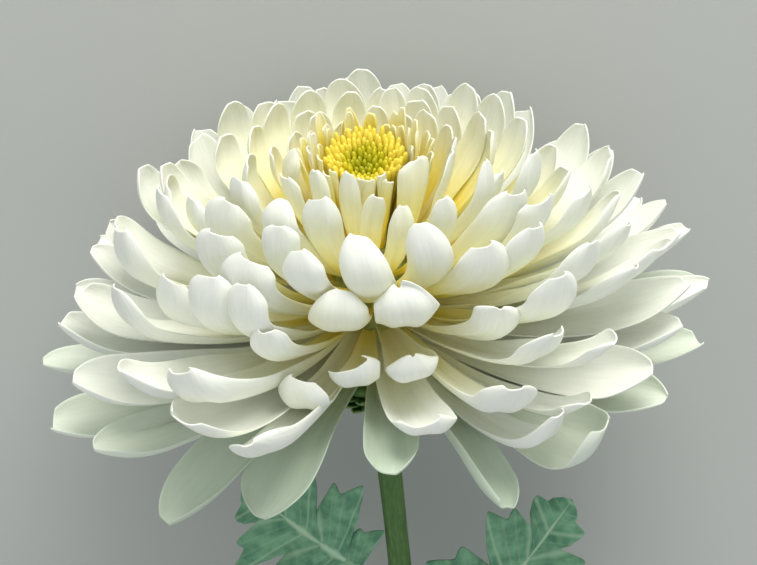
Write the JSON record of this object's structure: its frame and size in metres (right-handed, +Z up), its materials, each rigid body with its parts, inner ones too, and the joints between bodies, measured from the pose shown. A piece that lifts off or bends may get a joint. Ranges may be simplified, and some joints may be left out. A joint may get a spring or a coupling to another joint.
{
  "type": "chrysanthemum",
  "caption": "White decorative chrysanthemum bloom, picked with its leafy stem and lying on its side, with hooded petals round a yellow-green disc",
  "frame": {"origin": "on the surface that the flower lies on, under the middle of its box", "axes": "+Y runs along the stem from the bloom to the cut end, +Z is up, +X is to the flower's left seen from above with the bloom at the top"},
  "size_m": [0.13, 0.2144, 0.1039],
  "materials": {
    "petal": "satin",
    "inner_petal": "satin",
    "disc": "satin",
    "core": "matte",
    "stem": "satin",
    "leaf": "matte"
  },
  "bodies": {
    "root": {"drooping_petal_01": "petal", "drooping_petal_02": "petal", "drooping_petal_03": "petal", "drooping_petal_04": "petal", "drooping_petal_05": "petal", "drooping_petal_06": "petal", "drooping_petal_07": "petal", "drooping_petal_08": "petal", "drooping_petal_09": "petal", "drooping_petal_10": "petal", "outer_petal_01": "petal", "outer_petal_02": "petal", "outer_petal_03": "petal", "outer_petal_04": "petal", "outer_petal_05": "petal", "outer_petal_06": "petal", "outer_petal_07": "petal", "outer_petal_08": "petal", "outer_petal_09": "petal", "outer_petal_10": "petal", "outer_petal_11": "petal", "outer_petal_12": "petal", "outer_petal_13": "petal", "outer_petal_14": "petal", "rim_petal_01": "petal", "rim_petal_02": "petal", "rim_petal_03": "petal", "rim_petal_04": "petal", "rim_petal_05": "petal", "rim_petal_06": "petal", "rim_petal_07": "petal", "rim_petal_08": "petal", "rim_petal_09": "petal", "rim_petal_10": "petal", "rim_petal_11": "petal", "rim_petal_12": "petal", "rim_petal_13": "petal", "rim_petal_14": "petal", "rim_petal_15": "petal", "petal_whorl_4": "petal", "petal_whorl_5": "petal", "petal_whorl_6": "petal", "petal_whorl_7": "inner_petal", "petal_whorl_8": "inner_petal", "petal_whorl_9": "inner_petal", "petal_whorl_10": "inner_petal", "petal_whorl_11": "inner_petal", "disc_florets": "disc", "receptacle": "core", "bract_cup": "leaf", "stem": "stem", "leaf_upper": "leaf", "leaf_middle": "leaf", "leaf_lower": "leaf"}
  },
  "joints": []
}
